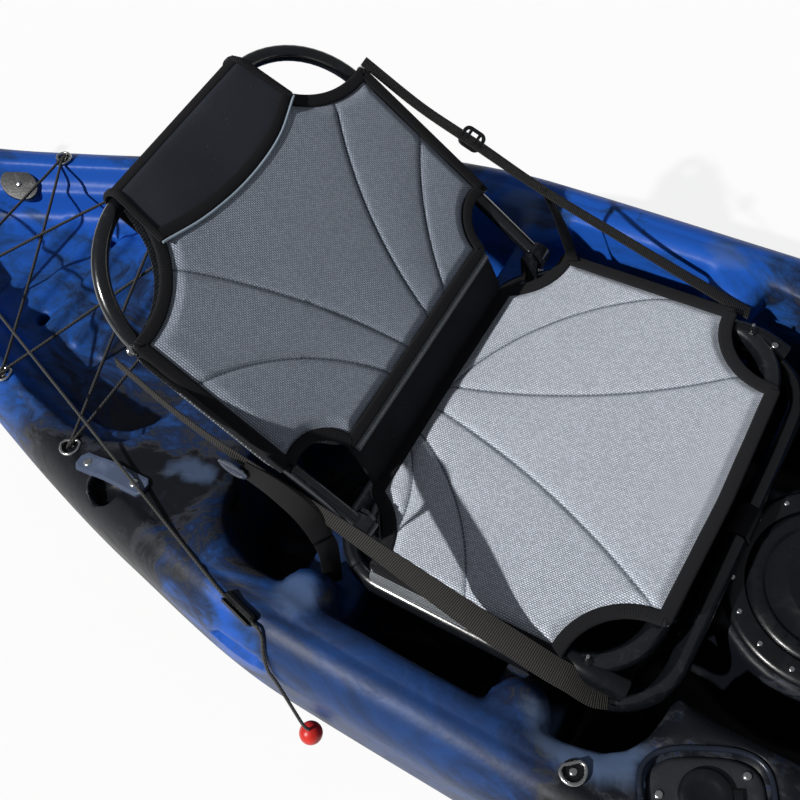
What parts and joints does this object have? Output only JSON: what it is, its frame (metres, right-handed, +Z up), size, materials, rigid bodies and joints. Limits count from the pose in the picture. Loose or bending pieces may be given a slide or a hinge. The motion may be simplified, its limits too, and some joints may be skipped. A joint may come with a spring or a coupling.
{
  "type": "tandem kayak",
  "caption": "Tandem sit-on-top kayak with folding mesh seats on tube frames, round hatches, flush rod holders, foot pedals, a corded tankwell and a lifting rudder.",
  "frame": {"origin": "under the middle of the whole boat, stern rudder included, at keel height", "axes": "+X towards the bow, +Y to port, +Z up"},
  "size_m": [4.61, 0.8163, 0.6451],
  "materials": {
    "hull_plastic": "rotomoulded polyethylene, marbled royal blue, navy, slate grey and black, satin gloss",
    "black_plastic": "moulded, satin",
    "grey_plastic": "moulded, satin",
    "black_tube": "aluminium tube, gloss black powder coat",
    "seat_mesh": "light grey woven spacer mesh with black fuzzy binding",
    "neoprene": "black foam-backed cloth with grey piping",
    "webbing": "ribbed black webbing",
    "stainless_steel": "bright stainless",
    "black_cord": "braided",
    "red_ball": "smooth red"
  },
  "bodies": {
    "boat": {"hull": "hull_plastic", "middle_hatch_ring": "black_plastic", "bow_hatch_ring": "black_plastic", "rod_holder_port": "grey_plastic", "rod_holder_starboard": "grey_plastic", "side_handle_port": "black_plastic", "side_handle_starboard": "black_plastic", "cord_eye_port_1": "stainless_steel", "cord_eye_port_2": "stainless_steel", "cord_eye_port_3": "stainless_steel", "cord_eye_starboard_1": "stainless_steel", "cord_eye_starboard_2": "stainless_steel", "cord_eye_starboard_3": "stainless_steel", "gear_eye_port": "stainless_steel", "gear_eye_starboard": "stainless_steel", "stern_fairlead": "stainless_steel", "bungee_web": "black_cord", "jam_cleat": "black_plastic", "lift_line": "black_cord", "tail_cord": "black_cord", "red_ball": "red_ball", "bow_handle_saddle": "black_plastic", "rear_foot_rail_port": "black_plastic", "rear_foot_rail_starboard": "black_plastic", "front_foot_rail_port": "black_plastic", "front_foot_rail_starboard": "black_plastic", "rudder_bracket": "stainless_steel", "rear_base_frame": "black_tube", "rear_pan_frame": "black_tube", "rear_pan_cover": "seat_mesh", "rear_strap_port": "webbing", "rear_strap_starboard": "webbing", "rear_buckle_port": "black_plastic", "rear_buckle_starboard": "black_plastic", "front_base_frame": "black_tube", "front_pan_frame": "black_tube", "front_pan_cover": "seat_mesh", "front_strap_port": "webbing", "front_strap_starboard": "webbing", "front_buckle_port": "black_plastic", "front_buckle_starboard": "black_plastic"},
    "rear_back": {"rear_back_frame": "black_tube", "rear_back_cover": "seat_mesh", "rear_head_pad": "neoprene"},
    "front_back": {"front_back_frame": "black_tube", "front_back_cover": "seat_mesh", "front_head_pad": "neoprene"},
    "middle_lid": {"middle_hatch_lid": "black_plastic"},
    "bow_lid": {"bow_hatch_lid": "black_plastic"},
    "port_cap": {"rod_cap_port": "black_plastic"},
    "starboard_cap": {"rod_cap_starboard": "black_plastic"},
    "bow_bail": {"bow_handle": "black_plastic"},
    "rudder_stock": {"rudder_head": "black_plastic"},
    "rudder_fin": {"rudder_blade": "black_plastic"},
    "rear_pedal_port": {"rear_foot_pedal_port": "black_plastic"},
    "rear_pedal_starboard": {"rear_foot_pedal_starboard": "black_plastic"},
    "front_pedal_port": {"front_foot_pedal_port": "black_plastic"},
    "front_pedal_starboard": {"front_foot_pedal_starboard": "black_plastic"}
  },
  "joints": [
    {"name": "rear_back_fold", "type": "hinge", "parent": "boat", "child": "rear_back", "pos_m": [-0.626, 0, 0.346], "axis": [0, 1, 0], "range_deg": [0, 126]},
    {"name": "front_back_fold", "type": "hinge", "parent": "boat", "child": "front_back", "pos_m": [0.644, 0, 0.346], "axis": [0, 1, 0], "range_deg": [0, 126]},
    {"name": "middle_lid_lift", "type": "slide", "parent": "boat", "child": "middle_lid", "axis": [0, 0, 1], "range_m": [0, 0.12]},
    {"name": "bow_lid_lift", "type": "slide", "parent": "boat", "child": "bow_lid", "axis": [0, 0, 1], "range_m": [0, 0.12]},
    {"name": "port_cap_lift", "type": "slide", "parent": "boat", "child": "port_cap", "axis": [0, 0, 1], "range_m": [0, 0.05]},
    {"name": "starboard_cap_lift", "type": "slide", "parent": "boat", "child": "starboard_cap", "axis": [0, 0, 1], "range_m": [0, 0.05]},
    {"name": "bow_handle_swing", "type": "hinge", "parent": "boat", "child": "bow_bail", "pos_m": [2.015, 0, 0.39008], "axis": [0, -1, 0], "range_deg": [0, 150]},
    {"name": "rudder_steer", "type": "hinge", "parent": "boat", "child": "rudder_stock", "pos_m": [-1.877, 0, 0.195], "axis": [0, 0, 1], "range_deg": [-30, 30]},
    {"name": "rudder_lift", "type": "hinge", "parent": "rudder_stock", "child": "rudder_fin", "pos_m": [-1.927, 0, 0.195], "axis": [0, -1, 0], "range_deg": [0, 85]},
    {"name": "rear_pedal_port_slide", "type": "slide", "parent": "boat", "child": "rear_pedal_port", "axis": [1, 0.0021, 0], "range_m": [-0.037, 0.037]},
    {"name": "front_pedal_port_slide", "type": "slide", "parent": "boat", "child": "front_pedal_port", "axis": [0.9909, -0.1347, 0], "range_m": [-0.06, 0.12]},
    {"name": "rear_pedal_starboard_slide", "type": "slide", "parent": "boat", "child": "rear_pedal_starboard", "axis": [1, -0.0021, 0], "range_m": [-0.037, 0.037]},
    {"name": "front_pedal_starboard_slide", "type": "slide", "parent": "boat", "child": "front_pedal_starboard", "axis": [0.9909, 0.1347, 0], "range_m": [-0.06, 0.12]}
  ],
  "couplings": [
    {"joint": "rear_pedal_starboard_slide", "follows": "rudder_steer", "m_per_rad": 0.06},
    {"joint": "rear_pedal_port_slide", "follows": "rudder_steer", "m_per_rad": -0.06}
  ]
}
